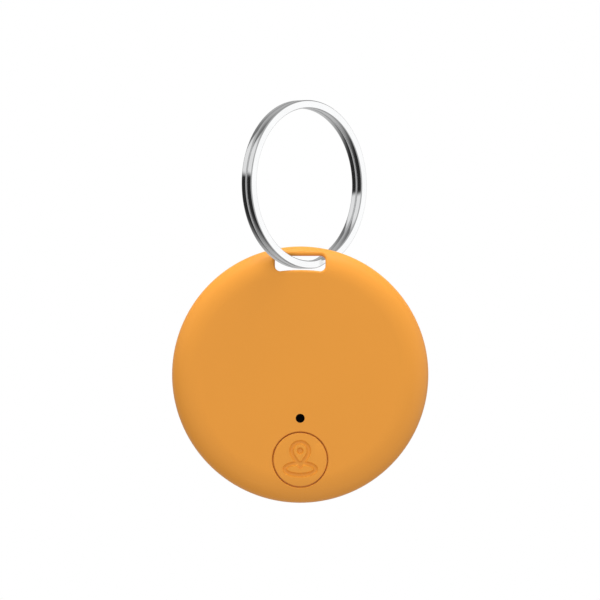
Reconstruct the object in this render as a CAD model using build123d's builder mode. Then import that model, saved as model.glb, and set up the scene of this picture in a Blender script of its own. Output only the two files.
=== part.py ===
"""Bluetooth tracker tag: a round case that hangs on a two-turn split ring.

Frame: +Z up, the case's front faces -Y, millimetres. The origin is the inside top of the split ring,
where a hook or a key carries it, in the middle of the ring's width.
"""
from build123d import *
import os
from math import cos, radians, sin

os.makedirs("parts", exist_ok=True)

# ---- split ring ----
ring_d = 25.0  # outside diameter
ring_h = 1.2  # thickness of the wire, across the ring's radius
wire_w = 1.03  # width of one turn, along the ring's axis
turn_gap = 0.04  # air between the two turns
wire_edge = 0.24  # rounding of the wire's corners
ring_yaw = 46.5  # turn of the ring's plane away from the case's plane
ring_slide = 1.0  # how far the ring sits off the slot's middle, along its own plane
ring_drop = 0.7  # air between the ring's inside and the bar of the case, in the middle
crossover_at = -75.0  # angle round the ring where the wire crosses over, behind the case
crossover_arc = 26.0  # arc that the wire takes to cross over

# ---- case ----
edge_w = 4.0  # width of the rounded edge, from the flat face out to the rim
wall = 0.8  # front, rear and battery cover
rim_wall = 1.2  # wall at the parting line
board_clear = 1.8  # board edge to the wall, at the parting line
bar_h = 1.4  # bar over the slot
slot_w = 7.5
slot_h = 2.4  # at the slot's ends
slot_bulge = 0.3  # rise of the slot's floor in the middle
slot_corner = 0.8
slot_rim = 0.35  # rounding of the slot's mouth, on both faces
slot_land = 1.1  # solid plastic between the slot and the cavity
seam = 0.12  # depth of the groove at the parting line, and the cover's chamfer
tongue_t = 0.5
tongue_h = 0.5
fit_gap = 0.05  # slip between two moulded parts
pin_r = 0.6
pin_h = 1.2
pin_offset = 2.7  # locating pin, from the slot's end
rib_w = 1.0
rib_l = 2.2
rib_angles = (28, 152, 196, 222, 318, 344)

# ---- stack behind the front wall, front to rear ----
board_standoff = 0.65
board_t = 0.6
contact_h = 0.2
cell_t = 3.2
pad_t = 0.15

# ---- board and what it carries ----
board_gap = 0.5  # board's flat top to the cavity's roof
board_ring = 4.9  # width of the board outside the cell holder
chip_w = 4.0
chip_t = 0.75
chip_inset = 2.4  # middle of the chips, from the cell holder
chip_angle = 208
crystal_w = 1.6
crystal_l = 2.0
crystal_t = 0.5
crystal_angle = 232
antenna_w = 1.6
antenna_l = 5.0
antenna_t = 0.9
antenna_angle = 48
passive_w = 0.5
passive_l = 1.0
passive_t = 0.45
passive_inset = 1.3  # middle of the small parts, from the cell holder
passive_step = 9.0  # angle between two small parts
capacitor_angle = 250
capacitor_count = 7
resistor_angle = 64
resistor_count = 6
inductor_w = 1.6
inductor_t = 0.8
inductor_angle = 326

# ---- coin cell and its holder ----
cell_d = 20.0
cell_skin = 0.25
cap_inset = 1.0  # cell's negative cap, inside the can's edge
cap_step = 0.2  # how far the negative cap stands out of the can
gasket_t = 0.2
holder_gap = 0.2
holder_wall = 0.9
holder_window = 4.8
contact_w = 4.0
contact_t = 0.15
contact_foot = 1.6
contact_gap = 0.03  # contact to what it touches
spring_r = 3.4
spring_arm = 1.1
spring_t = 0.08
spring_dome = 1.0

# ---- battery cover ----
cell_play = 0.3  # cell to the cover's spigot
spigot_wall = 1.2
spigot_l = 1.7
spigot_gap = 0.1
ledge_w = 1.1  # overlap of the cover on its seat
cover_t = 0.6  # the cover's rim
cover_gap = 0.12
collar_wall = 0.8
collar_l = 2.3
seal_d = 0.7
seal_land = 0.8
holder_clear = 0.15  # holder to the cover's spigot
pad_r = 4.0
notch_w = 6.0
notch_h = 0.9
notch_d = 0.45

# ---- sounder ----
sounder_r = 6.0
sounder_gap = 0.35  # sounder to the button's flange
sounder_seat = 0.3
sounder_rib = 0.2
rib_over = 0.1
tape_t = 0.05
plate_t = 0.15
ceramic_t = 0.1
ceramic_r = 4.4
sound_hole_r = 0.67
sound_hole_rise = 2.15  # middle of the sound hole over the button's edge
mesh_over = 0.25
mesh_t = 0.08
leaf_w = 0.8
leaf_l = 1.5
leaf_t = 0.05
leaf_bump = 0.3

# ---- button and its switch ----
button_inset = 6.5  # middle of the button, from the case's edge
button_r = 3.95
button_gap = 0.18
button_t = 0.6
button_skirt = 0.65
button_edge = 0.12
flange_w = 0.5
flange_t = 0.26
flange_gap = 0.02
nub_r = 0.8
nub_h = 0.08
travel = 0.2
touch_gap = 0.02  # between two parts that push on each other
switch_w = 3.0
switch_h = 2.0
base_t = 0.4
well_r = 0.9
shield_t = 0.08
dome_t = 0.04
dome_r = 0.8
stem_r = 0.55
stem_gap = 0.06

# ---- pin symbol, engraved in the button ----
mark_d = 0.12
mark_line = 0.34
mark_head_r = 1.45
mark_head_z = 1.2
mark_tip_z = -1.45
mark_dot_r = 0.36
mark_ring_rx = 2.45
mark_ring_rz = 1.05
mark_ring_z = -1.5
mark_gap_w = 2.3

# ---- worked out ----
ring_r = ring_d / 2
ring_in = ring_r - ring_h
ring_z = -ring_in
turn_pitch = wire_w + turn_gap
cell_r = cell_d / 2
holder_in = cell_r + holder_gap
holder_out = holder_in + holder_wall
board_r = holder_out + board_ring
chip_r = holder_out + chip_inset
passive_r = holder_out + passive_inset
cavity_r = board_r + board_clear
case_r = cavity_r + rim_wall
flat_r = case_r - edge_w
button_z = button_inset - case_r
sound_hole_z = button_z + button_r + sound_hole_rise
sounder_z = button_z + button_r + flange_w + sounder_gap + sounder_r
case_t = wall + board_standoff + board_t + contact_h + cell_t + pad_t + wall
half_t = case_t / 2
tag_x = -ring_slide * cos(radians(ring_yaw))
tag_y = -ring_slide * sin(radians(ring_yaw))
tag_z = ring_z - ring_in + ring_drop + bar_h - case_r
slot_top = case_r - bar_h
slot_floor = slot_top - slot_h
cavity_top = slot_floor - slot_land
front_in = -half_t + wall
board_front = front_in + board_standoff
board_back = board_front + board_t
cell_front = board_back + contact_h
cell_back = cell_front + cell_t
cover_in = cell_back + pad_t
spigot_in = cell_r + cell_play
spigot_r = spigot_in + spigot_wall
bore_r = spigot_r + spigot_gap
cover_r = bore_r + ledge_w
seat_y = half_t - cover_t
spigot_end = seat_y - spigot_l
hole_r = button_r + button_gap
cap_back = -half_t + button_t
flange_front = front_in + flange_gap
flange_back = flange_front + flange_t


def level(y):
    """Plane across the case at depth y, with its normal towards the front."""
    return Plane((tag_x, tag_y + y, tag_z), x_dir=(1, 0, 0), z_dir=(0, -1, 0))


# half section of the case: x is the radius, y the depth
section = Plane((tag_x, tag_y, tag_z), x_dir=(1, 0, 0), z_dir=(0, 0, 1))
case_axis = Axis((tag_x, tag_y, tag_z), (0, 1, 0))
midplane = level(0)
cavity_roof = Plane((tag_x, tag_y, tag_z + cavity_top), z_dir=(0, 0, 1))


def on_button(edge, r):
    """Whether an edge runs round the button's axis at this radius."""
    reach = [((edge @ u).X - tag_x, (edge @ u).Z - tag_z - button_z) for u in (0, 0.5, 1)]
    return all(abs((x * x + z * z) ** 0.5 - r) < touch_gap for x, z in reach)


def polar(angle, r):
    """Point on a level at this angle and radius."""
    return (r * cos(radians(angle)), r * sin(radians(angle)))


def save(part, name):
    part.label = name
    export_step(part, "parts/" + name + ".step")


# ---- split ring: two flat turns and the stretch that crosses over ----
ring_x_dir = (cos(radians(ring_yaw)), sin(radians(ring_yaw)), 0)
ring_axis_dir = (sin(radians(ring_yaw)), -cos(radians(ring_yaw)), 0)
ring_plane = Plane((0, 0, ring_z), x_dir=ring_x_dir, z_dir=ring_axis_dir)
ring_axis = Axis((0, 0, ring_z), ring_axis_dir)
turn_arc = 360 - crossover_arc


def wire_plane(angle):
    """Plane through the ring's axis at this angle: x is the radius, y runs along the axis."""
    radial = ring_plane.from_local_coords(Vector(*polar(angle, 1))) - Vector(0, 0, ring_z)
    return Plane((0, 0, ring_z), x_dir=radial, z_dir=Vector(*ring_axis_dir).cross(-radial))


crossover_steps = 6
with BuildPart() as split_ring:
    for side, start in ((1, crossover_at + crossover_arc / 2), (-1, crossover_at - crossover_arc / 2)):
        with BuildSketch(wire_plane(start)):
            with Locations((ring_r - ring_h / 2, side * turn_pitch / 2)):
                RectangleRounded(ring_h, wire_w, wire_edge)
        revolve(axis=ring_axis, revolution_arc=side * turn_arc)
    for step in range(crossover_steps + 1):
        share = step / crossover_steps
        shift = -turn_pitch / 2 * sin(radians(180 * (share - 0.5)))
        with BuildSketch(wire_plane(crossover_at + crossover_arc * (share - 0.5))):
            with Locations((ring_r - ring_h / 2, shift)):
                RectangleRounded(ring_h, wire_w, wire_edge)
    loft()
save(split_ring.part, "split_ring")

# ---- case blank: both halves in one, with the slot ----
with BuildPart() as blank:
    with BuildSketch(section):
        with BuildLine():
            EllipticalCenterArc((flat_r, 0), edge_w, half_t, start_angle=-90, arc_size=180)
            Polyline((flat_r, half_t), (0, half_t), (0, -half_t), (flat_r, -half_t))
        make_face()
    revolve(axis=case_axis)
    with BuildSketch(level(half_t)) as slot:
        with BuildLine():
            Polyline(
                (-slot_w / 2, slot_floor),
                (-slot_w / 2, slot_top),
                (slot_w / 2, slot_top),
                (slot_w / 2, slot_floor),
            )
            ThreePointArc(
                (slot_w / 2, slot_floor),
                (0, slot_floor + slot_bulge),
                (-slot_w / 2, slot_floor),
            )
        make_face()
        fillet(slot.vertices(), slot_corner)
    extrude(amount=case_t, mode=Mode.SUBTRACT)
    mouth = [
        edge
        for edge in blank.edges()
        if edge.center().Z > tag_z + flat_r - slot_corner
        and abs(edge.center().X - tag_x) < slot_w / 2 + slot_rim
        and abs(edge.center().Y - tag_y) > half_t / 3
        and edge.length < case_r
    ]
    fillet(mouth, slot_rim)
    # groove round the parting line, half of it on each shell
    with BuildSketch(section):
        with BuildLine():
            Polyline(
                (case_r - seam, 0),
                (case_r + seam, -2 * seam),
                (case_r + seam, 2 * seam),
                close=True,
            )
        make_face()
    revolve(axis=case_axis, mode=Mode.SUBTRACT)

with BuildPart() as cavity:
    with BuildSketch(section):
        with BuildLine():
            EllipticalCenterArc(
                (flat_r, 0), cavity_r - flat_r, half_t - wall, start_angle=-90, arc_size=180
            )
            Polyline(
                (flat_r, half_t - wall), (0, half_t - wall), (0, wall - half_t), (flat_r, wall - half_t)
            )
        make_face()
    revolve(axis=case_axis)
    split(bisect_by=cavity_roof, keep=Keep.BOTTOM)

with BuildPart() as inside:
    # everything within the walls' mid line, to trim the ribs
    with BuildSketch(section):
        with BuildLine():
            trim_y = half_t - wall / 2
            trim_w = cavity_r - flat_r + rim_wall / 2
            EllipticalCenterArc((flat_r, 0), trim_w, trim_y, start_angle=-90, arc_size=180)
            Polyline((flat_r, trim_y), (0, trim_y), (0, -trim_y), (flat_r, -trim_y))
        make_face()
    revolve(axis=case_axis)


def rib_box(near, far):
    """The board's ribs: short radial blocks from depth near to depth far."""
    with BuildPart() as ribs:
        for angle in rib_angles:
            with BuildSketch(level(far)):
                with Locations(polar(angle, board_r)):
                    Rectangle(rib_l, rib_w, rotation=angle)
            extrude(amount=far - near)
        add(inside.part, mode=Mode.INTERSECT)
    return ribs.part


front_ribs = rib_box(-half_t + wall / 2, board_front)
rear_ribs = rib_box(board_back, half_t - wall / 2)
pin_x = slot_w / 2 + pin_offset
pin_z = slot_floor + slot_h / 2

# ---- front shell ----
with BuildPart() as front_shell:
    add(blank.part)
    split(bisect_by=midplane, keep=Keep.TOP)
    add(cavity.part, mode=Mode.SUBTRACT)
    add(front_ribs)
    # tongue that enters the rear shell
    with BuildSketch(level(tongue_h)):
        Circle(cavity_r + tongue_t)
        Circle(cavity_r, mode=Mode.SUBTRACT)
        with Locations((0, cavity_top + case_r)):
            Rectangle(2 * case_r, 2 * case_r, mode=Mode.SUBTRACT)
    extrude(amount=tongue_h)
    # locating pins beside the slot
    with BuildSketch(level(pin_h)):
        with Locations((-pin_x, pin_z), (pin_x, pin_z)):
            Circle(pin_r)
    extrude(amount=pin_h)
    # seat ring of the sounder
    with BuildSketch(level(front_in + sounder_rib)):
        with Locations((0, sounder_z)):
            Circle(sounder_r + rib_over)
            Circle(sounder_r - sounder_seat, mode=Mode.SUBTRACT)
    extrude(amount=sounder_rib)
    # sound hole, and the button's hole, which goes on into the thick rim
    with BuildSketch(level(front_in)):
        with Locations((0, sound_hole_z)):
            Circle(sound_hole_r)
    extrude(amount=wall, mode=Mode.SUBTRACT)
    with BuildSketch(level(flange_back + travel + touch_gap)):
        with Locations((0, button_z)):
            Circle(hole_r)
    extrude(amount=half_t, mode=Mode.SUBTRACT)
    hole_rim = front_shell.edges().filter_by(
        lambda e: on_button(e, hole_r) and (e @ 0.5).Y < tag_y + front_in
    )
    fillet(hole_rim, button_edge)
save(front_shell.part, "front_shell")

# ---- rear shell, with the well of the battery cover ----
with BuildPart() as rear_shell:
    add(blank.part)
    split(bisect_by=midplane, keep=Keep.BOTTOM)
    add(cavity.part, mode=Mode.SUBTRACT)
    add(rear_ribs)
    # collar round the well
    with BuildSketch(level(half_t - wall / 2)):
        Circle(cover_r + collar_wall)
    extrude(amount=collar_l)
    # rebate for the front shell's tongue
    with BuildSketch(level(tongue_h + fit_gap)):
        Circle(cavity_r + tongue_t + fit_gap)
        Circle(cavity_r - fit_gap, mode=Mode.SUBTRACT)
        with Locations((0, cavity_top + fit_gap + case_r)):
            Rectangle(2 * case_r, 2 * case_r, mode=Mode.SUBTRACT)
    extrude(amount=tongue_h + fit_gap, mode=Mode.SUBTRACT)
    with BuildSketch(level(pin_h + fit_gap)):
        with Locations((-pin_x, pin_z), (pin_x, pin_z)):
            Circle(pin_r + fit_gap)
    extrude(amount=pin_h + fit_gap, mode=Mode.SUBTRACT)
    # well, seat of the cover's rim and pry notch
    with BuildSketch(level(half_t)):
        Circle(bore_r)
    extrude(amount=case_t, mode=Mode.SUBTRACT)
    with BuildSketch(level(half_t)):
        Circle(cover_r + cover_gap)
    extrude(amount=cover_t, mode=Mode.SUBTRACT)
    with BuildSketch(level(half_t)):
        with Locations((0, -cover_r)):
            Rectangle(notch_w, 2 * notch_h)
    extrude(amount=notch_d, mode=Mode.SUBTRACT)
save(rear_shell.part, "rear_shell")

# ---- circuit board ----
with BuildPart() as circuit_board:
    with BuildSketch(level(board_back)):
        Circle(board_r)
        with Locations((0, cavity_top - board_gap + board_r)):
            Rectangle(2 * board_r, 2 * board_r, mode=Mode.SUBTRACT)
    extrude(amount=board_t)
save(circuit_board.part, "circuit_board")


def chip(name, angle, r, along, across, height, count=1):
    """Small parts on the board's rear face, turned to follow the cell's edge."""
    with BuildPart() as made:
        for copy in range(count):
            turn = angle + copy * passive_step
            with BuildSketch(level(board_back)):
                with Locations(polar(turn, r)):
                    Rectangle(across, along, rotation=turn)
            extrude(amount=-height)
    save(made.part, name)


chip("radio_chip", chip_angle, chip_r, chip_w, chip_w, chip_t)
chip("crystal", crystal_angle, chip_r, crystal_l, crystal_w, crystal_t)
chip("chip_antenna", antenna_angle, chip_r, antenna_l, antenna_w, antenna_t)
chip("inductor", inductor_angle, chip_r, inductor_w, inductor_w, inductor_t)
chip("capacitors", capacitor_angle, passive_r, passive_l, passive_w, passive_t, capacitor_count)
chip("resistors", resistor_angle, passive_r, passive_l, passive_w, passive_t, resistor_count)

# ---- holder and contacts of the coin cell ----
holder_top = spigot_end - holder_clear
with BuildPart() as battery_holder:
    with BuildSketch(level(board_back)):
        Circle(holder_out)
        Circle(holder_in, mode=Mode.SUBTRACT)
        with Locations((-holder_out, 0)):
            Rectangle(2 * holder_out - 2 * holder_wall, holder_window, mode=Mode.SUBTRACT)
    extrude(amount=board_back - holder_top)
save(battery_holder.part, "battery_holder")

contact_x = -(cell_r + contact_gap + contact_t / 2)
with BuildPart() as positive_contact:
    with BuildSketch(level(board_back)):
        with Locations((contact_x, 0)):
            Rectangle(contact_t, contact_w)
    extrude(amount=board_back - holder_top)
    with BuildSketch(level(board_back)):
        with Locations((contact_x - contact_foot / 2, 0)):
            Rectangle(contact_foot, contact_w)
    extrude(amount=-contact_t)
save(positive_contact.part, "positive_contact")

with BuildPart() as negative_contact:
    with BuildSketch(level(board_back)):
        Circle(spring_dome + spring_arm / 2)
        with PolarLocations(spring_r / 2, 3):
            Rectangle(spring_r, spring_arm)
    extrude(amount=-spring_t)
    with BuildSketch(level(board_back + spring_t)):
        Circle(spring_dome)
    extrude(amount=spring_t + contact_gap - contact_h)
save(negative_contact.part, "negative_contact")

# ---- coin cell: can, negative cap, gasket and filling ----
can_front = cell_front + cap_step
cap_r = cell_r - cap_inset
with BuildPart() as cell_can:
    with BuildSketch(section):
        with BuildLine():
            Polyline(
                (0, cell_back),
                (cell_r, cell_back),
                (cell_r, can_front),
                (cap_r + gasket_t, can_front),
                (cap_r + gasket_t, can_front + cell_skin),
                (cell_r - cell_skin, can_front + cell_skin),
                (cell_r - cell_skin, cell_back - cell_skin),
                (0, cell_back - cell_skin),
                close=True,
            )
        make_face()
    revolve(axis=case_axis)
save(cell_can.part, "cell_can")

gasket_back = can_front + cell_skin + gasket_t
with BuildPart() as cell_gasket:
    with BuildSketch(section):
        with BuildLine():
            Polyline(
                (cap_r, can_front),
                (cap_r + gasket_t, can_front),
                (cap_r + gasket_t, can_front + cell_skin),
                (cell_r - cell_skin, can_front + cell_skin),
                (cell_r - cell_skin, gasket_back),
                (cap_r, gasket_back),
                close=True,
            )
        make_face()
    revolve(axis=case_axis)
save(cell_gasket.part, "cell_gasket")

with BuildPart() as cell_cap:
    with BuildSketch(section):
        with BuildLine():
            Polyline(
                (0, cell_front),
                (cap_r - gasket_t, cell_front),
                (cap_r, cell_front + gasket_t),
                (cap_r, gasket_back),
                (cap_r - cell_skin, gasket_back),
                (cap_r - cell_skin, cell_front + cell_skin),
                (0, cell_front + cell_skin),
                close=True,
            )
        make_face()
    revolve(axis=case_axis)
save(cell_cap.part, "cell_cap")

with BuildPart() as cell_fill:
    with BuildSketch(section):
        with BuildLine():
            Polyline(
                (0, cell_front + cell_skin),
                (cap_r - cell_skin, cell_front + cell_skin),
                (cap_r - cell_skin, gasket_back),
                (cell_r - cell_skin, gasket_back),
                (cell_r - cell_skin, cell_back - cell_skin),
                (0, cell_back - cell_skin),
                close=True,
            )
        make_face()
    revolve(axis=case_axis)
save(cell_fill.part, "cell_fill")

# ---- battery cover, its seal and the pad that holds the cell down ----
groove_r = bore_r - fit_gap - seal_d
groove_mid = (seat_y + spigot_end) / 2
with BuildPart() as battery_cover:
    with BuildSketch(section):
        with BuildLine():
            Polyline(
                (0, half_t),
                (cover_r, half_t),
                (cover_r, seat_y),
                (spigot_r, seat_y),
                (spigot_r, groove_mid + seal_land / 2),
                (groove_r, groove_mid + seal_land / 2),
                (groove_r, groove_mid - seal_land / 2),
                (spigot_r, groove_mid - seal_land / 2),
                (spigot_r, spigot_end),
                (spigot_in, spigot_end),
                (spigot_in, cover_in),
                (0, cover_in),
                close=True,
            )
        make_face()
    revolve(axis=case_axis)
    with BuildSketch(level(half_t)):
        with Locations((0, -cover_r)):
            Rectangle(notch_w, notch_h)
    extrude(amount=notch_d, mode=Mode.SUBTRACT)
    cover_rim = battery_cover.edges().filter_by(GeomType.CIRCLE).filter_by(
        lambda e: abs(e.radius - cover_r) < fit_gap and abs(e.center().Y - tag_y - half_t) < fit_gap
    )
    chamfer(cover_rim, seam)
save(battery_cover.part, "battery_cover")

with BuildPart() as cover_seal:
    with BuildSketch(section):
        with Locations((groove_r + seal_d / 2, groove_mid)):
            Circle(seal_d / 2)
    revolve(axis=case_axis)
save(cover_seal.part, "cover_seal")

with BuildPart() as cover_pad:
    with BuildSketch(level(cover_in)):
        Circle(pad_r)
    extrude(amount=pad_t)
save(cover_pad.part, "cover_pad")

# ---- sounder: tape, brass plate, ceramic, leaf contacts and the mesh behind the sound hole ----
tape_back = front_in + sounder_rib + tape_t
plate_back = tape_back + plate_t
ceramic_back = plate_back + ceramic_t
with BuildPart() as sounder_tape:
    with BuildSketch(level(tape_back)):
        with Locations((0, sounder_z)):
            Circle(sounder_r)
            Circle(sounder_r - sounder_seat, mode=Mode.SUBTRACT)
    extrude(amount=tape_t)
save(sounder_tape.part, "sounder_tape")

with BuildPart() as sounder_plate:
    with BuildSketch(level(plate_back)):
        with Locations((0, sounder_z)):
            Circle(sounder_r)
    extrude(amount=plate_t)
save(sounder_plate.part, "sounder_plate")

with BuildPart() as sounder_ceramic:
    with BuildSketch(level(ceramic_back)):
        with Locations((0, sounder_z)):
            Circle(ceramic_r)
    extrude(amount=ceramic_t)
save(sounder_ceramic.part, "sounder_ceramic")

with BuildPart() as sounder_contacts:
    rim_x = (ceramic_r + sounder_r) / 2
    for x, target in ((0, ceramic_back), (rim_x, plate_back)):
        with BuildSketch(level(board_front)):
            with Locations((x, sounder_z)):
                Rectangle(leaf_w, leaf_l)
        extrude(amount=leaf_t)
        with BuildSketch(level(board_front - leaf_t)):
            with Locations((x, sounder_z)):
                Circle(leaf_bump)
        extrude(amount=board_front - leaf_t - target - touch_gap)
save(sounder_contacts.part, "sounder_contacts")

with BuildPart() as sound_mesh:
    with BuildSketch(level(front_in + mesh_t)):
        with Locations((0, sound_hole_z)):
            Circle(sound_hole_r + mesh_over)
    extrude(amount=mesh_t)
save(sound_mesh.part, "sound_mesh")

# ---- button cap with the engraved pin ----
skirt_in = button_r - button_skirt
base_front = board_front - base_t
stem_top = cap_back + nub_h
with BuildSketch(level(mark_d - half_t)) as mark:
    with Locations((0, button_z + mark_ring_z)):
        Ellipse(mark_ring_rx, mark_ring_rz)
        Ellipse(mark_ring_rx - mark_line, mark_ring_rz - mark_line, mode=Mode.SUBTRACT)
    with Locations((0, button_z + mark_ring_z + mark_ring_rz)):
        Rectangle(mark_gap_w, mark_ring_rz, mode=Mode.SUBTRACT)
    for inset, mode in ((0, Mode.ADD), (mark_line, Mode.SUBTRACT)):
        head_r = mark_head_r - inset
        tip_z = mark_tip_z + inset * (mark_head_z - mark_tip_z) / mark_head_r
        reach = mark_head_z - tip_z
        touch_z = mark_head_z - head_r * head_r / reach
        touch_x = head_r * (1 - (head_r / reach) ** 2) ** 0.5
        with BuildLine():
            ThreePointArc(
                (-touch_x, button_z + touch_z),
                (0, button_z + mark_head_z + head_r),
                (touch_x, button_z + touch_z),
            )
            Polyline(
                (touch_x, button_z + touch_z),
                (0, button_z + tip_z),
                (-touch_x, button_z + touch_z),
            )
        make_face(mode=mode)
    with Locations((0, button_z + mark_head_z)):
        Circle(mark_dot_r)

with BuildPart() as button_cap:
    # the face follows the case's own surface
    with BuildSketch(level(cap_back)):
        with Locations((0, button_z)):
            Circle(button_r)
    extrude(amount=half_t)
    add(blank.part, mode=Mode.INTERSECT)
    face_rim = button_cap.edges().filter_by(
        lambda e: on_button(e, button_r) and (e @ 0.5).Y < tag_y + cap_back
    )
    fillet(face_rim, button_edge)
    with BuildSketch(level(flange_back)):
        with Locations((0, button_z)):
            Circle(button_r)
            Circle(skirt_in, mode=Mode.SUBTRACT)
    extrude(amount=flange_back - cap_back)
    # the flange stops where the case's wall curves in
    with BuildSketch(level(flange_back)):
        with Locations((0, button_z)):
            Circle(button_r + flange_w)
        Circle(flat_r, mode=Mode.INTERSECT)
        with Locations((0, button_z)):
            Circle(button_r - button_skirt / 2, mode=Mode.SUBTRACT)
    extrude(amount=flange_t)
    with BuildSketch(level(stem_top - touch_gap)):
        with Locations((0, button_z)):
            Circle(nub_r)
    extrude(amount=stem_top - touch_gap - cap_back)
    extrude(mark.sketch, amount=mark_d, mode=Mode.SUBTRACT)
save(button_cap.part, "button_cap")

# ---- tact switch under the button ----
well_floor = base_front + travel + dome_t + stem_gap
stem_back = well_floor - dome_t - travel - touch_gap
with BuildPart() as switch_base:
    with BuildSketch(level(board_front)):
        with Locations((0, button_z)):
            Rectangle(switch_w, switch_h)
    extrude(amount=base_t)
    with BuildSketch(level(well_floor)):
        with Locations((0, button_z)):
            Circle(well_r)
    extrude(amount=well_floor - base_front, mode=Mode.SUBTRACT)
save(switch_base.part, "switch_base")

with BuildPart() as switch_shield:
    with BuildSketch(level(base_front)):
        with Locations((0, button_z)):
            Rectangle(switch_w, switch_h)
            Circle(stem_r + stem_gap, mode=Mode.SUBTRACT)
    extrude(amount=shield_t)
save(switch_shield.part, "switch_shield")

dome_rise = travel - touch_gap
with BuildPart() as switch_dome:
    with BuildSketch(Plane((tag_x, tag_y, tag_z + button_z), x_dir=(1, 0, 0), z_dir=(0, 0, 1))):
        with BuildLine():
            rim_y = well_floor - dome_t
            outer = ThreePointArc((-dome_r, rim_y), (0, rim_y - dome_rise), (dome_r, rim_y))
            inner = ThreePointArc((-dome_r, well_floor), (0, well_floor - dome_rise), (dome_r, well_floor))
            Line(outer @ 0, inner @ 0)
            Line(outer @ 1, inner @ 1)
        make_face()
        with Locations((-dome_r, well_floor - dome_rise / 2)):
            Rectangle(2 * dome_r, 2 * travel, mode=Mode.SUBTRACT)
    revolve(axis=Axis((tag_x, tag_y, tag_z + button_z), (0, 1, 0)))
save(switch_dome.part, "switch_dome")

with BuildPart() as switch_plunger:
    with BuildSketch(level(stem_back)):
        with Locations((0, button_z)):
            Circle(stem_r)
    extrude(amount=stem_back - stem_top)
save(switch_plunger.part, "switch_plunger")
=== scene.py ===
import bpy
from math import asin, cos, pi, radians, sin
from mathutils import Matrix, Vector


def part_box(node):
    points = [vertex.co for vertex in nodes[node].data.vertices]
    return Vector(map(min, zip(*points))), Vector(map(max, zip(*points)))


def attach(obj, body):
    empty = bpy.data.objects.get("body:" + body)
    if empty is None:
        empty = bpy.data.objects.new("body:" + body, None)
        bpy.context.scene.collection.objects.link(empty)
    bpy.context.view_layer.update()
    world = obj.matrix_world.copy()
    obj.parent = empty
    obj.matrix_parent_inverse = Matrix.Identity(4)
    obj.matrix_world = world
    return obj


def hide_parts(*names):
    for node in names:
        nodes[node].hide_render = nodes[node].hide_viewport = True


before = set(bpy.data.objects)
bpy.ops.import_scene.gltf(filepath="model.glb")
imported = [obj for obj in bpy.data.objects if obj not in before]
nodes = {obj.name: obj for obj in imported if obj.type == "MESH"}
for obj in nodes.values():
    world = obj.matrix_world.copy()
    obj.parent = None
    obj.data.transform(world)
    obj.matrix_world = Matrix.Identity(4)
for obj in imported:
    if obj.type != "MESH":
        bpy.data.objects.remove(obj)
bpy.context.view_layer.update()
mm = 0.001
weld = 0.0005 * mm  # corners nearer to each other than this are merged

# places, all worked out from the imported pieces
frontLow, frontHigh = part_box("front_shell")
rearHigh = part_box("rear_shell")[1]
coverLow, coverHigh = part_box("battery_cover")
ringLow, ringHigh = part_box("split_ring")
caseMid = Vector((
    (frontLow.x + frontHigh.x) / 2,
    (frontLow.y + rearHigh.y) / 2,
    (coverLow.z + coverHigh.z) / 2,
))
ringMid = Vector((0, 0, (ringLow.z + ringHigh.z) / 2))
print("frame loaded, case in the middle of", [round(v / mm, 3) for v in caseMid])


class Socket:  # one socket of a finish, for shader maths written as expressions
    def __init__(self, finish, socket):
        self.finish = finish
        self.socket = socket

    def maths(self, operation, *values):
        return self.finish.add("Math", {"operation": operation}, dict(enumerate(values)))

    def __add__(self, other):
        return self.maths("ADD", self, other)

    def __radd__(self, other):
        return self.maths("ADD", other, self)

    def __sub__(self, other):
        return self.maths("SUBTRACT", self, other)

    def __rsub__(self, other):
        return self.maths("SUBTRACT", other, self)

    def __mul__(self, other):
        return self.maths("MULTIPLY", self, other)

    def __rmul__(self, other):
        return self.maths("MULTIPLY", other, self)

    def __truediv__(self, other):
        return self.maths("DIVIDE", self, other)

    def __pow__(self, other):
        return self.maths("POWER", self, other)

    def __abs__(self):
        return self.maths("ABSOLUTE", self)

    def most(self, other):
        return self.maths("MAXIMUM", self, other)

    def wave(self, length):  # 0 at each whole length, 1 half way between
        return self.maths("PINGPONG", self, length / 2) * (2 / length)

    def smooth(self, low, high):  # 0 below low, 1 above high
        settings = {"interpolation_type": "SMOOTHSTEP"}
        return self.finish.add("MapRange", settings, {"Value": self, "From Min": low, "From Max": high})


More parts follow.
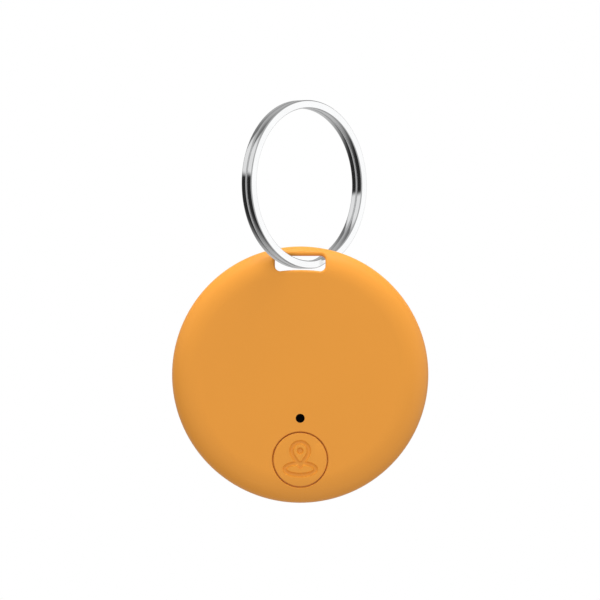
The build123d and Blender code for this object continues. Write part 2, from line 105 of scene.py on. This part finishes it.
class Finish:  # a material or a world, with the nodes that make its look
    def __init__(self, name, constants=None, kind="materials"):
        self.block = getattr(bpy.data, kind).new(name)
        self.block.use_nodes = True
        self.tree = self.block.node_tree
        self.shader = self.tree.nodes.get("Principled BSDF")
        for socket, value in (constants or {}).items():
            self.plug(value, self.shader.inputs[socket])

    def plug(self, value, socket):
        if isinstance(value, Socket):
            self.tree.links.new(value.socket, socket)
        elif isinstance(value, (int, float)):
            socket.default_value = value
        else:  # a vector, or a colour that may lack its alpha
            size = len(socket.default_value)
            socket.default_value = (*value, 1)[:size]

    def add(self, kind, settings=None, links=None, output=0):
        node = self.tree.nodes.new("ShaderNode" + kind)
        for name, value in (settings or {}).items():
            setattr(node, name, value)
        for name, value in (links or {}).items():
            self.plug(value, node.inputs[name])
        return Socket(self, node.outputs[output])

    def place(self, middle=caseMid, turn=(0, 0, 0), scale=(1, 1, 1)):  # object coordinates about a middle
        coords = self.add("TexCoord", output="Object")
        moved = self.add("VectorMath", {"operation": "SUBTRACT"}, {0: coords, 1: middle})
        return self.add("Mapping", links={"Vector": moved, "Rotation": turn, "Scale": scale})

    def split(self, vector):
        axes = self.add("SeparateXYZ", links={0: vector})
        return [Socket(self, output) for output in axes.socket.node.outputs]

    def polar(self):  # distance from the case's axis, and degrees round it
        across, depth, rise = self.split(self.place())
        turn = self.add("Math", {"operation": "ARCTAN2"}, {0: rise, 1: across}) * (180 / pi)
        return (across * across + rise * rise) ** 0.5, turn

    def noise(self, vector, scale, detail=2, roughness=0.5):
        links = {"Vector": vector, "Scale": scale, "Detail": detail, "Roughness": roughness}
        return self.add("TexNoise", links=links)

    def mix(self, factor, first, second):  # 6, 7 and 2 are the colour sockets of a Mix node
        return self.add("Mix", {"data_type": "RGBA"}, {0: factor, 6: first, 7: second}, output=2)

    def bump(self, height, strength, distance):
        return self.add("Bump", links={"Strength": strength, "Distance": distance, "Height": height})

    def feed(self, **sockets):
        for name, value in sockets.items():
            self.plug(value, self.shader.inputs[name.replace("_", " ")])
        return self.block


def srgb(red, green, blue):  # a colour as a paint chart gives it, 0 to 255
    def linear(part):
        part /= 255
        return part / 12.92 if part <= 0.04045 else ((part + 0.055) / 1.055) ** 2.4
    return (linear(red), linear(green), linear(blue))


# plastics: colour, roughness and depth of grain
orange = srgb(238, 156, 50)
plastics = {
    "case_orange": (orange, 0.42, 0.004 * mm),
    "cover_orange": (orange, 0.42, 0.004 * mm),
    "button_orange": (orange, 0.42, 0.004 * mm),
    "holder_black": (srgb(38, 39, 42), 0.5, 0.006 * mm),
    "switch_black": (srgb(30, 30, 32), 0.5, 0.002 * mm),
    "plunger_black": (srgb(24, 24, 26), 0.4, 0.002 * mm),
    "gasket_nylon": (srgb(196, 204, 214), 0.35, 0.002 * mm),
    "seal_rubber": (srgb(28, 28, 29), 0.62, 0.008 * mm),
    "antenna_ceramic": (srgb(232, 232, 226), 0.35, 0.002 * mm),
    "inductor_grey": (srgb(84, 86, 92), 0.5, 0.008 * mm),
}


def mouldedPlastic(name, colour, rough, grain):
    made = Finish(name, {"IOR": 1.5, "Specular IOR Level": 0.5})
    place = made.place()
    drift = made.noise(place, scale=90)  # slow drift of the pigment
    fleck = made.noise(place, scale=5200, detail=3, roughness=0.6)  # spark-eroded surface of the mould
    scuff = made.noise(place, scale=420, detail=4, roughness=0.6)
    low = [part * 0.965 for part in colour]
    high = [min(1, part * 1.03) for part in colour]
    tone = made.mix(drift * 0.7 + fleck * 0.3, low, high)
    gloss = rough - 0.05 + scuff * 0.06 + fleck * 0.05
    return made.feed(
        Base_Color=tone,
        Roughness=gloss,
        Normal=made.bump(fleck, strength=0.25, distance=grain),
    )


finishes = {name: mouldedPlastic(name, *look) for name, look in plastics.items()}


# open cells, paper, paste, and woven cloth darkened further as painted shade
def foam():
    made = Finish("pad_foam", {"Specular IOR Level": 0.1, "Roughness": 0.95})
    cells = made.add("TexVoronoi", {"feature": "F1"}, {"Vector": made.place(), "Scale": 9000})
    return made.feed(
        Base_Color=made.mix(cells.smooth(0.1, 0.5), srgb(24, 24, 26), srgb(74, 74, 78)),
        Normal=made.bump(cells, strength=0.8, distance=0.03 * mm),
    )


def tape():
    made = Finish("tape_white", {"Specular IOR Level": 0.3})
    fibre = made.noise(made.place(scale=(1, 1, 5)), scale=1500, detail=5, roughness=0.7)
    return made.feed(
        Base_Color=made.mix(fibre, srgb(204, 200, 186), srgb(240, 238, 228)),
        Roughness=0.5 + fibre * 0.2,
        Normal=made.bump(fibre, strength=0.3, distance=0.004 * mm),
    )


def paste():
    made = Finish("cell_mix", {"Specular IOR Level": 0.2})
    lump = made.noise(made.place(), scale=2600, detail=6, roughness=0.75)
    return made.feed(
        Base_Color=made.mix(lump, srgb(38, 38, 42), srgb(104, 104, 110)),
        Roughness=0.75 + lump * 0.2,
        Normal=made.bump(lump, strength=0.6, distance=0.02 * mm),
    )


def clothDarkenedAsShade():
    made = Finish("mesh_black", {"Specular IOR Level": 0.05, "Roughness": 0.9})
    across, depth, rise = made.split(made.place())
    thread = 0.09 * mm
    weft = across.wave(thread)
    warp = rise.wave(thread)
    cloth = weft.most(warp).smooth(0.45, 0.8)
    return made.feed(
        # near-black threads: the cloth's own black, pushed darker still as painted shade of the deep sound
        # hole
        Base_Color=made.mix(cloth, srgb(1, 1, 1), srgb(9, 9, 10)),
        Normal=made.bump(cloth, strength=0.6, distance=0.02 * mm),
    )


finishes.update({"pad_foam": foam(), "tape_white": tape(), "cell_mix": paste(), "mesh_black": clothDarkenedAsShade()})

# circuit board: rings and spokes of track under the green, gold round the vias and in the middle, bare rim
boardLow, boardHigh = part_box("circuit_board")
boardRadius = (boardHigh.x - boardLow.x) / 2
board = {
    "lane": 0.55 * mm,  # from one track to the next
    "track": 0.34,  # a track's part of its lane
    "rim": 0.22 * mm,
    "land": 3.9 * mm,  # radius of the gold in the middle
    "via": 0.16 * mm,
    "viaAt": (5.2 * mm, 8.4 * mm, 15.2 * mm),  # radii of the rows of vias
    "viaPitch": 6.0,  # degrees
    "solderMask": srgb(16, 78, 50),
    "copperUnder": srgb(38, 116, 72),
    "gold": srgb(226, 184, 96),
    "laminate": srgb(196, 184, 128),
}


def circuitBoard():
    made = Finish("board_green", {"IOR": 1.5})
    reach, turn = made.polar()
    patch = made.noise(made.place(), scale=260, detail=1)
    rings = reach.wave(board["lane"]).smooth(1 - board["track"], 1.05 - board["track"])
    spokes = turn.wave(board["viaPitch"] / 2).smooth(0.9, 0.93)
    tracks = rings * patch.smooth(0.50, 0.54) + spokes * (1 - patch.smooth(0.44, 0.48))
    gold = 1 - reach.smooth(board["land"], board["land"] + 0.02 * mm)
    for at in board["viaAt"]:
        beside = (reach - at) / board["via"]
        along = turn.wave(board["viaPitch"]) * (radians(board["viaPitch"] / 2) * at / board["via"])
        apart = (beside * beside + along * along) ** 0.5
        gold = gold.most(apart.smooth(0.35, 0.45) * (1 - apart.smooth(0.95, 1.05)))
    bare = reach.smooth(boardRadius - board["rim"], boardRadius - board["rim"] / 2)
    tone = made.mix(tracks, board["solderMask"], board["copperUnder"])
    tone = made.mix(gold, tone, board["gold"])
    tone = made.mix(bare, tone, board["laminate"])
    return made.feed(
        Base_Color=tone,
        Metallic=gold * 0.9,
        Roughness=0.32 + bare * 0.4 - gold * 0.05,
        Normal=made.bump(tracks * 0.5 + gold, strength=0.5, distance=0.02 * mm),
    )


# small parts with a metal end cap on both sides: colour, and where the row starts in degrees round the case
endedParts = {
    "capacitor_tan": (srgb(176, 138, 96), 250),
    "resistor_dark": (srgb(30, 30, 38), 64),
}
endCap = {
    "pitch": 9,  # degrees from one part to the next
    "from": 0.31,  # 0 is a part's middle, 1 is half way to the next part
    "fade": 0.02,
    "tone": (0.70, 0.69, 0.66),
}


def endedPart(name, body, first):
    made = Finish(name)
    reach, turn = made.polar()
    grain = made.noise(made.place(), scale=4200, detail=3)
    metal = (turn - first).wave(endCap["pitch"]).smooth(endCap["from"], endCap["from"] + endCap["fade"])
    tone = made.mix(grain, [part * 0.85 for part in body], body)
    return made.feed(
        Base_Color=made.mix(metal, tone, endCap["tone"]),
        Metallic=metal,
        Roughness=0.5 - metal * 0.2 + grain * 0.1,
        Normal=made.bump(grain, strength=0.2, distance=0.004 * mm),
    )


# radio chip: black epoxy with a moulded dot in one corner
chipLow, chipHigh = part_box("radio_chip")
chip = {
    "middle": (chipLow + chipHigh) / 2,
    "turn": 208,  # degrees round the case
    "dotAt": 1.45 * mm,  # from the middle, both ways
    "dot": 0.5 * mm,  # across
}


def radioChip():
    made = Finish("chip_black", {"IOR": 1.55})
    place = made.place(chip["middle"], turn=(0, radians(chip["turn"]), 0))
    across, depth, rise = made.split(place)
    grain = made.noise(place, scale=6000, detail=4, roughness=0.7)
    beside = across - chip["dotAt"]
    above = rise - chip["dotAt"]
    apart = (beside * beside + above * above) ** 0.5
    dot = 1 - apart.smooth(chip["dot"] * 0.45, chip["dot"] * 0.5)
    tone = made.mix(grain, srgb(26, 26, 28), srgb(46, 46, 50))
    return made.feed(
        Base_Color=made.mix(dot * 0.6, tone, srgb(120, 120, 122)),
        Roughness=0.6 - dot * 0.35,
        Normal=made.bump(grain * 0.2 - dot, strength=0.5, distance=0.03 * mm),
    )


finishes.update({"board_green": circuitBoard(), "chip_black": radioChip()})
finishes.update({name: endedPart(name, *look) for name, look in endedParts.items()})


# metals and the silvered sounder
def brushedMetal(name, colour, rough, middle=caseMid, stretch=(1, 1, 30)):
    made = Finish(name, {"Metallic": 1.0})
    streak = made.noise(made.place(middle, scale=stretch), scale=500, detail=4, roughness=0.6)
    cloud = made.noise(made.place(middle), scale=300)
    return made.feed(
        Base_Color=made.mix(cloud, [part * 0.93 for part in colour], colour),
        Roughness=rough - 0.05 + streak * 0.12,
        Normal=made.bump(streak, strength=0.08, distance=0.002 * mm),
    )


def turnedMetal(name, colour, rough):  # fine rings round the case's axis, and a few scratches
    made = Finish(name, {"Metallic": 1.0})
    reach, turn = made.polar()
    spun = made.add("CombineXYZ", links={"X": reach * 9000, "Y": turn * 0.004})
    rings = made.noise(spun, scale=1, detail=3)
    scratch = made.noise(made.place(turn=(0, 0.6, 0), scale=(1, 1, 60)), scale=260).smooth(0.66, 0.72)
    cloud = made.noise(made.place(), scale=240, detail=3)
    tone = made.mix(cloud, [part * 0.9 for part in colour], colour)
    return made.feed(
        Base_Color=made.mix(scratch * 0.4, tone, (0.86, 0.86, 0.85)),
        Roughness=rough - 0.05 + rings * 0.12 + cloud * 0.04,
        Normal=made.bump(rings + scratch, strength=0.15, distance=0.002 * mm),
    )


def firedCeramic():  # silvered piezo ceramic, speckled
    made = Finish("piezo_ceramic", {"IOR": 1.6})
    place = made.place()
    speckle = made.noise(place, scale=7000, detail=4, roughness=0.7)
    cloud = made.noise(place, scale=500, detail=3)
    return made.feed(
        Base_Color=made.mix(speckle * 0.6 + cloud * 0.4, srgb(186, 182, 172), srgb(222, 219, 208)),
        Metallic=0.35 + speckle * 0.2,
        Roughness=0.42 + cloud * 0.15,
        Normal=made.bump(speckle, strength=0.3, distance=0.003 * mm),
    )


steel = (0.62, 0.61, 0.59)
finishes.update({
    "chrome_wire": brushedMetal("chrome_wire", (0.95, 0.955, 0.96), 0.07, ringMid, stretch=(1, 1, 1)),
    "crystal_can": brushedMetal("crystal_can", steel, 0.22),
    "contact_nickel": brushedMetal("contact_nickel", (0.68, 0.65, 0.60), 0.22),
    "cell_steel": turnedMetal("cell_steel", steel, 0.24),
    "brass_plate": turnedMetal("brass_plate", (0.80, 0.62, 0.30), 0.25),
    "shield_steel": brushedMetal("shield_steel", steel, 0.22),
    "dome_steel": brushedMetal("dome_steel", steel, 0.18),
    "piezo_ceramic": firedCeramic(),
})
for name, node in nodes.items():
    node.visible_glossy = name == "split_ring"  # keeps the case out of the wire's mirror
    for slot in node.material_slots:
        slot.material = finishes[slot.material.name.split(".")[0]]
print("finishes made:", len(finishes))


# modelling steps
def finishMode():
    if bpy.context.mode != "OBJECT":
        bpy.ops.object.mode_set(mode="OBJECT")


def startWith(piece):
    finishMode()
    bpy.ops.object.select_all(action="DESELECT")
    piece.select_set(True)
    bpy.context.view_layer.objects.active = piece


def addPrimitive(kind, name, **sizes):
    finishMode()
    bpy.ops.object.select_all(action="DESELECT")
    getattr(bpy.ops.mesh, "primitive_" + kind + "_add")(**sizes)
    piece = bpy.context.object
    piece.name = name
    piece.data.name = name
    bpy.ops.object.transform_apply(location=True, rotation=True, scale=True)
    return piece


def choose(piece, kind, test):  # opens the piece in edit mode with the faces, edges or vertices that pass
    startWith(piece)
    mesh = piece.data
    for group in (mesh.vertices, mesh.edges, mesh.polygons):
        group.foreach_set("select", [False] * len(group))
    bpy.context.tool_settings.mesh_select_mode = (kind == "vertices", kind == "edges", kind == "polygons")
    for part in getattr(mesh, kind):
        part.select = test(part)
    bpy.ops.object.mode_set(mode="EDIT")


def everything(piece):
    choose(piece, "vertices", lambda vertex: True)


def copyOf(node, name):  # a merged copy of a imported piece, to be worked on
    finishMode()
    piece = bpy.data.objects.new(name, nodes[node].data.copy())
    piece.data.name = name
    bpy.context.collection.objects.link(piece)
    startWith(piece)
    bpy.ops.mesh.customdata_custom_splitnormals_clear()
    everything(piece)
    bpy.ops.mesh.remove_doubles(threshold=weld)
    finishMode()
    return piece


def modify(piece, kind, **settings):
    startWith(piece)
    modifier = piece.modifiers.new(kind.title(), kind)
    for name, value in settings.items():
        setattr(modifier, name, value)
    bpy.ops.object.modifier_apply(modifier=modifier.name)


def combine(piece, tool, operation):  # uses the tool up
    modify(piece, "BOOLEAN", object=tool, operation=operation, solver="EXACT")
    bpy.data.objects.remove(tool)


def mergeUp(piece):  # merged corners, and faces that point outwards
    everything(piece)
    bpy.ops.mesh.remove_doubles(threshold=weld)
    bpy.ops.mesh.normals_make_consistent(inside=False)
    finishMode()


def closeUp(piece, body, slot, replaced, sharp=32):
    mergeUp(piece)
    startWith(piece)
    bpy.ops.object.shade_smooth_by_angle(angle=radians(sharp))
    piece.data.materials.clear()
    piece.data.materials.append(finishes[slot])
    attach(piece, body)
    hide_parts(*replaced)
    print("made", piece.name, len(piece.data.polygons), "faces")


# split ring: a flat wire wound two turns, with a joggle where it changes lanes
wire = {
    "across": 25.0 * mm,
    "thick": 1.2 * mm,
    "wide": 1.03 * mm,
    "gap": 0.04 * mm,  # between the two turns
    "edge": 0.2 * mm,
    "edgeCuts": 6,
    "yaw": 46.5,  # degrees, as it hangs in the slot
    "joggleAt": -75,  # degrees round the ring, behind the case
    "joggleArc": 26,
    "joggleSteps": 18,
    "turnSteps": 150,
    "endBevel": 0.12 * mm,
    "endCuts": 3,
}


def turnWire(degrees, along):  # carries the wire's open end on round the ring
    bpy.ops.mesh.extrude_region_move(TRANSFORM_OT_translate={"value": (0, along, 0)})
    bpy.ops.transform.rotate(value=radians(degrees), orient_axis="Y", center_override=(0, 0, 0))


def makeRing():
    lane = (wire["wide"] + wire["gap"]) / 2
    middle = (wire["across"] - wire["thick"]) / 2
    turn = radians(360 - wire["joggleArc"])
    winding = {"center": (0, 0, 0), "axis": (0, 1, 0), "angle": turn, "steps": wire["turnSteps"]}
    ring = addPrimitive("plane", "splitRing", size=1)
    everything(ring)
    bpy.ops.transform.resize(value=(wire["thick"], wire["wide"], 1))
    bpy.ops.transform.translate(value=(middle, -lane, 0))
    bpy.ops.mesh.bevel(offset=wire["edge"], segments=wire["edgeCuts"], affect="VERTICES")
    start = radians(wire["joggleAt"] + wire["joggleArc"] / 2)
    bpy.ops.transform.rotate(value=start, orient_axis="Y", center_override=(0, 0, 0))
    bpy.ops.mesh.spin(**winding)
    steps = wire["joggleSteps"]
    shifts = [-lane * cos(pi * step / steps) for step in range(steps + 1)]
    for before, after in zip(shifts, shifts[1:]):
        turnWire(wire["joggleArc"] / steps, after - before)
    bpy.ops.mesh.spin(**winding)
    choose(ring, "polygons", lambda face: len(face.vertices) > 4)  # the two cut ends
    bpy.ops.mesh.region_to_loop()
    bpy.ops.mesh.bevel(offset=wire["endBevel"], segments=wire["endCuts"])
    startWith(ring)
    ring.rotation_euler.z = radians(wire["yaw"])
    ring.location = ringMid
    bpy.ops.object.transform_apply(location=True, rotation=True, scale=True)
    closeUp(ring, "ring", "chrome_wire", ["split_ring"], sharp=60)
    modify(ring, "WEIGHTED_NORMAL", mode="FACE_AREA", keep_sharp=True)


makeRing()

# button cap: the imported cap, with a map pin pressed softly into it and a lip that closes its gap
button = {
    "head": 1.28 * mm,  # radius of the pin's head, to the middle of its groove
    "headRise": 1.2 * mm,
    "tipRise": -1.139 * mm,
    "halfWidth": 0.34 * mm,  # of a groove, at the cap's face
    "depth": 0.28 * mm,  # of a groove
    "turnSteps": 18,  # from the side of the pin's head to its top
    "rodSides": 20,
    "dot": 0.52 * mm,  # radius of the pin's eye, at the cap's face
    "dotDeep": 0.28 * mm,
    "dotSlope": 0.7,
    "dotSides": 48,
    "ground": (2.28 * mm, 0.88 * mm),  # half the width and height of the oval under the pin
    "groundRise": -1.5 * mm,
    "groundSteps": 14,
    "groundCuts": 5,
    "gap": 0.106,  # of the oval's length, left open on each side of the tip
    "raise": 0.1 * mm,  # the whole symbol, above the cap's middle
    "lip": (3.6 * mm, 4.12 * mm),  # inner and outer radius
    "lipFrom": 0.6 * mm,  # behind the cap's face
    "lipTo": 0.8 * mm,
    "lipSides": 128,
}
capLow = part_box("button_cap")[0]
switchLow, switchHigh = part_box("switch_base")  # the button's axis runs through the switch behind it
buttonMid = Vector(((switchLow.x + switchHigh.x) / 2, capLow.y, (switchLow.z + switchHigh.z) / 2))
rodRadius = (button["halfWidth"] ** 2 + button["depth"] ** 2) / (2 * button["depth"])
rodOut = rodRadius - button["depth"]  # from the cap's face out to the middle of the rod that cuts a groove


def pinTool():  # half a bent rod: up one side of the pin and round to its top, then mirrored at the middle
    tall = button["headRise"] - button["tipRise"]
    lean = asin(button["head"] / tall)
    side = tall * cos(lean) * sin(lean)
    rise = tall * cos(lean) * cos(lean)
    tool = addPrimitive("circle", "pinTool", vertices=button["rodSides"], radius=rodRadius, fill_type="NGON")
    everything(tool)
    bpy.ops.transform.rotate(value=-lean, orient_axis="Y", center_override=(0, 0, 0))
    bpy.ops.transform.translate(value=(0, 0, button["tipRise"]))
    bpy.ops.mesh.extrude_region_move(TRANSFORM_OT_translate={"value": (side, 0, rise)})
    steps = button["turnSteps"] + 1  # one more than reaches the top, for the mirror to cut off
    angle = (pi / 2 + lean) * steps / button["turnSteps"]
    bpy.ops.mesh.spin(center=(0, 0, button["headRise"]), axis=(0, 1, 0), angle=angle, steps=steps)
    modify(tool, "MIRROR", use_bisect_axis=(True, False, False), bisect_threshold=weld, merge_threshold=weld)
    return tool


def groundTool():  # an open oval rod under the pin
    finishMode()
    bpy.ops.object.select_all(action="DESELECT")
    bpy.ops.curve.primitive_bezier_circle_add(radius=1, rotation=(0, 0, -pi / 2))
    tool = bpy.context.object
    tool.name = "groundTool"
    bpy.ops.object.transform_apply(location=False, rotation=True, scale=False)
    tool.scale = (*button["ground"], 1)
    bpy.ops.object.transform_apply(location=False, rotation=False, scale=True)
    tool.rotation_euler.x = pi / 2
    tool.location.z = button["groundRise"]
    bpy.ops.object.transform_apply(location=True, rotation=True, scale=False)
    oval = tool.data
    for point in oval.splines[0].bezier_points:
        point.radius = 1  # applying the scale changed it
    oval.resolution_u = button["groundSteps"]
    oval.bevel_depth = rodRadius
    oval.bevel_resolution = button["groundCuts"]
    oval.use_fill_caps = True
    oval.bevel_factor_mapping_start = "SPLINE"
    oval.bevel_factor_mapping_end = "SPLINE"
    oval.bevel_factor_start = button["gap"]
    oval.bevel_factor_end = 1 - button["gap"]
    bpy.ops.object.convert(target="MESH")
    return bpy.context.object


def dotTool():  # a cone for the pin's eye
    slope = button["dotSlope"] * button["dotDeep"]
    return addPrimitive(
        "cone", "dotTool", vertices=button["dotSides"], depth=2 * button["dotDeep"],
        radius1=button["dot"] + slope, radius2=button["dot"] - slope,
        location=(0, 0, button["headRise"]), rotation=(-pi / 2, 0, 0))


def lipTool():  # a flat ring
    inner, outer = button["lip"]
    tall = button["lipTo"] - button["lipFrom"]
    lip = addPrimitive(
        "cylinder", "lipTool", vertices=button["lipSides"], radius=outer, depth=tall,
        location=(0, button["lipFrom"] + tall / 2, 0), rotation=(pi / 2, 0, 0))
    choose(lip, "polygons", lambda face: abs(face.normal.y) > 0.9)
    bpy.ops.mesh.inset(thickness=outer - inner, use_individual=True)
    bpy.ops.mesh.bridge_edge_loops()
    return lip


def atButton(tool, out=0, up=button["raise"]):  # moves a tool to the cap's face
    everything(tool)
    bpy.ops.transform.translate(value=buttonMid + Vector((0, -out, up)))
    mergeUp(tool)
    return tool


def makeButton():
    cap = copyOf("button_cap", "buttonCap")
    combine(cap, atButton(lipTool(), up=0), "UNION")
    combine(cap, atButton(dotTool()), "DIFFERENCE")
    combine(cap, atButton(pinTool(), rodOut), "DIFFERENCE")
    combine(cap, atButton(groundTool(), rodOut), "DIFFERENCE")
    closeUp(cap, "button", "button_orange", ["button_cap"], sharp=40)


makeButton()

# coin cell's can: drawn and crimped steel with a plus stamped in its back
cellCan = {
    "skin": 0.25 * mm,
    "crimp": 0.8 * mm,  # how far the front edge is folded in
    "backEdge": 0.45 * mm,
    "frontEdge": 0.22 * mm,
    "edgeCuts": 5,
    "sides": 144,
    "plus": 2.6 * mm,
    "plusWide": 0.5 * mm,
    "plusRise": 5.2 * mm,
    "stamp": 0.05 * mm,
}


def makeCan():
    low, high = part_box("cell_can")
    radius = (high.x - low.x) / 2
    middle = (low + high) / 2
    near = 0.01 * mm
    can = addPrimitive(
        "cylinder", "cellCan", vertices=cellCan["sides"], radius=radius, depth=high.y - low.y,
        location=middle, rotation=(pi / 2, 0, 0))
    choose(can, "polygons", lambda face: face.normal.y < -0.9)
    bpy.ops.mesh.inset(thickness=cellCan["crimp"])
    bpy.ops.mesh.extrude_region_move(TRANSFORM_OT_translate={"value": (0, cellCan["skin"], 0)})
    bpy.ops.mesh.extrude_region_move(TRANSFORM_OT_translate={"value": (0, 0, 0)})
    grow = (radius - cellCan["skin"]) / (radius - cellCan["crimp"])
    bpy.ops.transform.resize(value=(grow, 1, grow), center_override=middle)
    deep = high.y - low.y - 2 * cellCan["skin"]
    bpy.ops.mesh.extrude_region_move(TRANSFORM_OT_translate={"value": (0, deep, 0)})

    def onRim(edge, y):
        ends = [can.data.vertices[v].co for v in edge.vertices]
        return all(abs(end.y - y) < near and (end - middle).xz.length > radius - near for end in ends)

    for y, name in ((high.y, "backEdge"), (low.y, "frontEdge")):
        choose(can, "edges", lambda edge: onRim(edge, y))
        bpy.ops.mesh.bevel(offset=cellCan[name], segments=cellCan["edgeCuts"])
    spot = Vector((middle.x, high.y, middle.z + cellCan["plusRise"]))
    for wide, tall in ((cellCan["plus"], cellCan["plusWide"]), (cellCan["plusWide"], cellCan["plus"])):
        bar = addPrimitive("cube", "plusTool", size=1, location=spot)
        everything(bar)
        bpy.ops.transform.resize(value=(wide, 2 * cellCan["stamp"], tall), center_override=spot)
        combine(can, bar, "DIFFERENCE")
    closeUp(can, "cell", "cell_steel", ["cell_can"])
    modify(can, "WEIGHTED_NORMAL", mode="FACE_AREA", keep_sharp=True)


makeCan()

# camera, far off with a long lens
view = {
    "lens": 300,
    "sensor": 36,
    "frameWide": 88.93 * mm,
    "right": -0.03 * mm,  # from the case's middle
    "up": 11.06 * mm,
    "clip": (0.01, 20),
}
distance = view["frameWide"] * view["lens"] / view["sensor"]
aim = caseMid + Vector((view["right"], 0, view["up"]))
bpy.ops.object.camera_add(location=(aim.x, aim.y - distance, aim.z), rotation=(pi / 2, 0, 0))
camera = bpy.context.object
camera.data.lens = view["lens"]
camera.data.sensor_width = view["sensor"]
camera.data.clip_start, camera.data.clip_end = view["clip"]
bpy.context.scene.camera = camera
bpy.context.scene.view_settings.view_transform = "Standard"

# floor: a pale disc that fades out at its edge and can't be seen from below
studioFloor = {
    "drop": 31 * mm,
    "radius": 0.32,
    "sides": 96,
    "fade": (0.12, 0.28),
    "glow": 0.62,  # share of plain white in what the camera sees
    "tone": (0.86, 0.86, 0.86),
}


def layFloor():
    at = (caseMid.x, caseMid.y, frontLow.z - studioFloor["drop"])
    floor = addPrimitive(
        "circle", "studioFloor", vertices=studioFloor["sides"], radius=studioFloor["radius"],
        fill_type="NGON", location=at)
    made = Finish("floorPaint", {"Base Color": studioFloor["tone"], "Roughness": 0.8})
    across, back, rise = made.split(made.place())
    reach = (across * across + back * back) ** 0.5
    paint = Socket(made, made.shader.outputs[0])
    glow = made.add("Emission", links={"Color": (1, 1, 1), "Strength": 1})
    clear = made.add("BsdfTransparent")
    seen = made.add("LightPath", output="Is Camera Ray")
    half = made.add("MixShader", links={0: seen * studioFloor["glow"], 1: paint, 2: glow})
    gone = reach.smooth(*studioFloor["fade"]).most(made.add("NewGeometry", output="Backfacing"))
    shown = made.add("MixShader", links={0: gone, 1: half, 2: clear})
    made.plug(shown, made.tree.nodes["Material Output"].inputs["Surface"])
    floor.data.materials.append(made.block)
    floor.visible_glossy = False
    floor.visible_diffuse = False


layFloor()

# soft light from all round; mirrors see cards in it instead
studioSky = {  # how bright each part is
    "low": 0.74,
    "high": 0.76,
    "backDim": 0.55,
    "card": 0.42,
    "silver": 0.78,
    "white": 1.05,
    "lowDark": 0.02,
    "lowRise": 0.5,
    "highDark": 0.17,
    "highRise": 0.27,
}
cardEdges = {  # from where to where each part blends into the next, along the direction that is seen
    "dimBack": (0, 0.5),
    "leftSide": (-0.25, -0.05),
    "leftBack": (-0.6, -0.35),
    "behindBack": (0.15, 0.3),
    "behindSide": (0.35, 0.7),
    "lowBack": (0.05, 0.85),
    "highBack": (0.35, 0.8),
    "upperBack": (0.22, 0.30),
    "silverTop": (0.6, 0.8),
    "horizon": (0.12, 0.24),
    "whiteSide": (0.7, 0.85),
    "whiteTop": (0.3, 0.5),
}


def blend(first, second, factor):
    return first + factor * (second - first)


def hangSky():
    made = Finish("studioSky", kind="worlds")
    bpy.context.scene.world = made.block
    side, back, rise = made.split(made.add("TexCoord"))
    left = (1 - side.smooth(*cardEdges["leftSide"])) * back.smooth(*cardEdges["leftBack"])
    behind = back.smooth(*cardEdges["behindBack"]) * (1 - side.smooth(*cardEdges["behindSide"]))
    lowShade = studioSky["lowDark"] + back.smooth(*cardEdges["lowBack"]) * studioSky["lowRise"]
    highShade = studioSky["highDark"] + back.smooth(*cardEdges["highBack"]) * studioSky["highRise"]
    silver = left * (1 - rise.smooth(*cardEdges["silverTop"]))
    white = side.smooth(*cardEdges["whiteSide"]) * (1 - abs(rise).smooth(*cardEdges["whiteTop"]))
    upper = blend(studioSky["card"], studioSky["silver"], silver)
    upper = blend(upper, highShade, back.smooth(*cardEdges["upperBack"]))
    lower = blend(studioSky["card"], lowShade, left.most(behind))
    cards = blend(lower, upper, rise.smooth(*cardEdges["horizon"]))
    cards = blend(cards, studioSky["white"], white)
    soft = blend(studioSky["low"], studioSky["high"], rise * 0.5 + 0.5)
    soft = soft * (1 - back.smooth(*cardEdges["dimBack"]) * studioSky["backDim"])
    seen = blend(soft, cards, made.add("LightPath", output="Is Glossy Ray"))
    straight = made.add("LightPath", output="Is Camera Ray")
    through = made.add("LightPath", output="Is Transmission Ray")
    background = made.tree.nodes["Background"]
    made.plug(blend(seen, 1, straight.most(through)), background.inputs["Strength"])
    made.plug((1, 1, 1), background.inputs["Color"])


hangSky()

# lamps
lamps = {
    "topLamp": {"at": (0, 0.05, 0.5), "size": 0.5, "watts": 2.8},
    "frontLamp": {"at": (0, -0.45, 0.45), "size": 0.3, "watts": 0.9},
    "backLamp": {"at": (0.1, 0.62, 0.2), "size": 0.5, "watts": 2.2},
}
for name, lamp in lamps.items():
    bpy.ops.object.light_add(type="AREA", location=Vector(lamp["at"]) + caseMid)
    light = bpy.context.object
    light.name = name
    light.data.shape = "DISK"
    light.data.size = lamp["size"]
    light.data.energy = lamp["watts"]
    light.visible_glossy = False  # mirrors see the cards instead
    light.rotation_euler = (caseMid - light.location).to_track_quat("-Z", "Y").to_euler()
print("camera, floor and lamps set")
